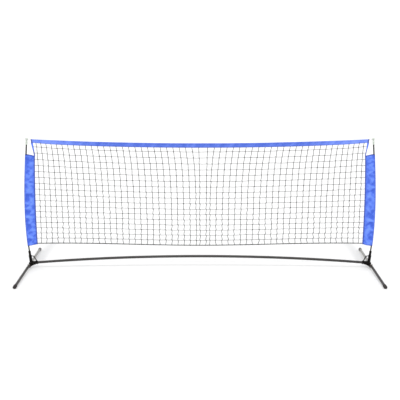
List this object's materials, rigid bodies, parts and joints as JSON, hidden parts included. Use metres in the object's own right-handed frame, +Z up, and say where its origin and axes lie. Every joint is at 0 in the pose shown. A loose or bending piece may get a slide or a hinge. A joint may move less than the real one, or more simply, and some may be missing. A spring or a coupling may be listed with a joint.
{
  "type": "portable badminton net",
  "caption": "Free-standing badminton net: square-mesh net with blue top band and side sleeves on two sprung poles, arched sectional base tube and folding cross feet.",
  "frame": {"origin": "on the floor, under the middle of the net", "axes": "+X along the net towards its right end, +Y from the front feet to the rear feet, +Z up"},
  "size_m": [3.054, 0.943, 1.1605],
  "materials": {
    "black_moulding": "satin",
    "glass_fibre_rod": "satin",
    "zinc_plate": "satin",
    "white_cap": "satin",
    "blue_fabric": "satin",
    "base_steel": "satin",
    "foot_rubber": "matte",
    "white_cord": "matte",
    "net_cord": "matte"
  },
  "bodies": {
    "frame": {"hub_left": "black_moulding", "pole_socket_left": "black_moulding", "pole_lower_left": "glass_fibre_rod", "pole_upper_left": "glass_fibre_rod", "pole_ferrule_left": "zinc_plate", "pole_cap_left": "white_cap", "side_sleeve_left": "blue_fabric", "edge_tape_left": "blue_fabric", "hub_right": "black_moulding", "pole_socket_right": "black_moulding", "pole_lower_right": "glass_fibre_rod", "pole_upper_right": "glass_fibre_rod", "pole_ferrule_right": "zinc_plate", "pole_cap_right": "white_cap", "side_sleeve_right": "blue_fabric", "edge_tape_right": "blue_fabric", "pivot_bolt_front_left": "zinc_plate", "pivot_nut_front_left": "zinc_plate", "pivot_bolt_rear_left": "zinc_plate", "pivot_nut_rear_left": "zinc_plate", "pivot_bolt_front_right": "zinc_plate", "pivot_nut_front_right": "zinc_plate", "pivot_bolt_rear_right": "zinc_plate", "pivot_nut_rear_right": "zinc_plate", "base_tube_left": "base_steel", "base_tube_middle": "base_steel", "base_tube_right": "base_steel", "top_band": "blue_fabric", "head_cord": "white_cord", "net_mesh": "net_cord", "bottom_cord": "net_cord"},
    "leg_front_left": {"leg_tube_front_left": "base_steel", "leg_knuckle_front_left": "black_moulding", "foot_cap_front_left": "foot_rubber"},
    "leg_rear_left": {"leg_tube_rear_left": "base_steel", "leg_knuckle_rear_left": "black_moulding", "foot_cap_rear_left": "foot_rubber"},
    "leg_front_right": {"leg_tube_front_right": "base_steel", "leg_knuckle_front_right": "black_moulding", "foot_cap_front_right": "foot_rubber"},
    "leg_rear_right": {"leg_tube_rear_right": "base_steel", "leg_knuckle_rear_right": "black_moulding", "foot_cap_rear_right": "foot_rubber"}
  },
  "joints": [
    {"name": "fold_front_left", "type": "hinge", "parent": "frame", "child": "leg_front_left", "pos_m": [-1.498, -0.025, 0.034], "axis": [0, 0, 1], "range_deg": [0, 90]},
    {"name": "fold_rear_left", "type": "hinge", "parent": "frame", "child": "leg_rear_left", "pos_m": [-1.498, 0.025, 0.034], "axis": [0, 0, -1], "range_deg": [0, 90]},
    {"name": "fold_front_right", "type": "hinge", "parent": "frame", "child": "leg_front_right", "pos_m": [1.498, -0.025, 0.034], "axis": [0, 0, -1], "range_deg": [0, 90]},
    {"name": "fold_rear_right", "type": "hinge", "parent": "frame", "child": "leg_rear_right", "pos_m": [1.498, 0.025, 0.034], "axis": [0, 0, 1], "range_deg": [0, 90]}
  ]
}
